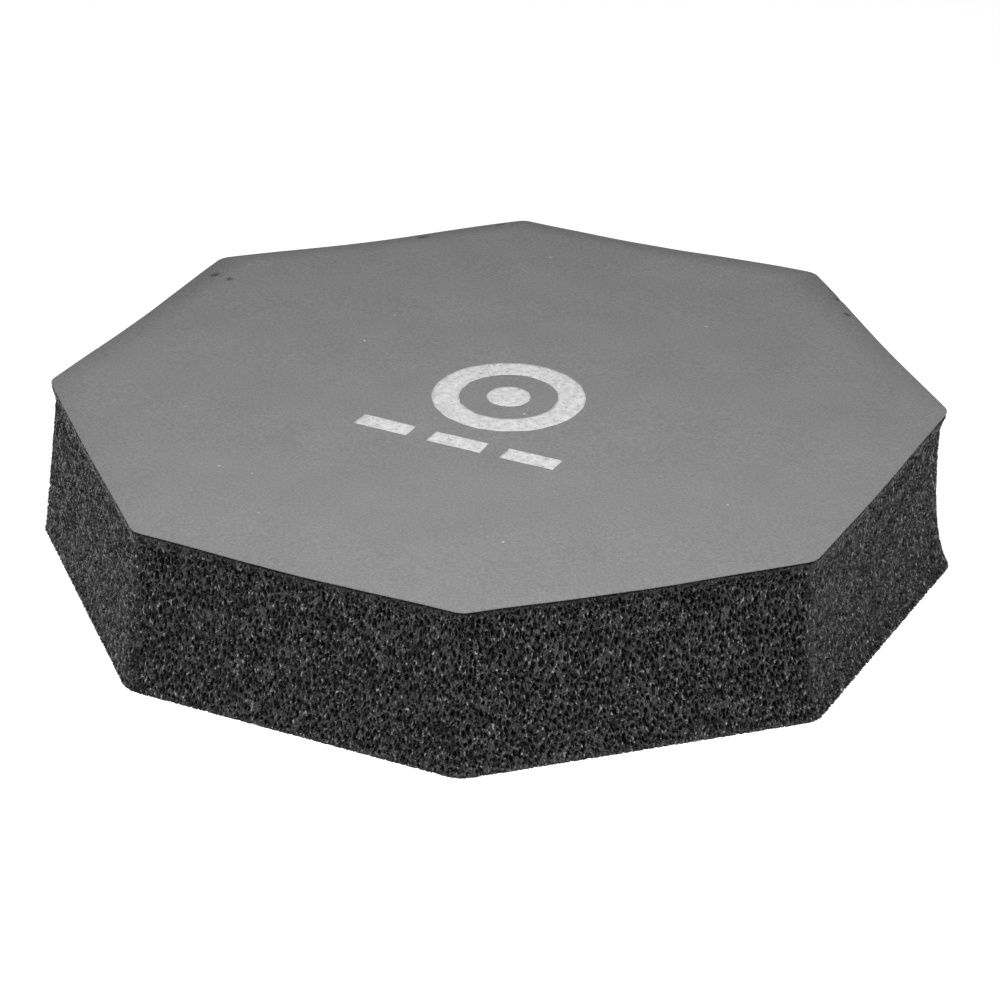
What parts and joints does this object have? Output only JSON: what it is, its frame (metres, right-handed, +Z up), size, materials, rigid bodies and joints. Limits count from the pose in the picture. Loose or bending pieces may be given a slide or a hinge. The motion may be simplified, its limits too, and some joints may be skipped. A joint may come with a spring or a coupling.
{
  "type": "foam pad",
  "caption": "Thin octagonal open-cell foam pad with bare flared sides and a smooth bonded facing that carries a plain printed ring and bars.",
  "frame": {"origin": "middle of the foam's foot, on the surface that the pad lies on", "axes": "+Z up through the facing; the flats face along X and Y, with corners between them; the print reads upright from -Y"},
  "size_m": [0.157, 0.157, 0.0295],
  "materials": {
    "foam": "matte",
    "bond": "satin",
    "facing": "satin",
    "ink": "satin"
  },
  "bodies": {
    "root": {"foam_core": "foam", "bond_film": "bond", "facing_sheet": "facing", "printed_emblem": "ink", "printed_bars": "ink"}
  },
  "joints": []
}
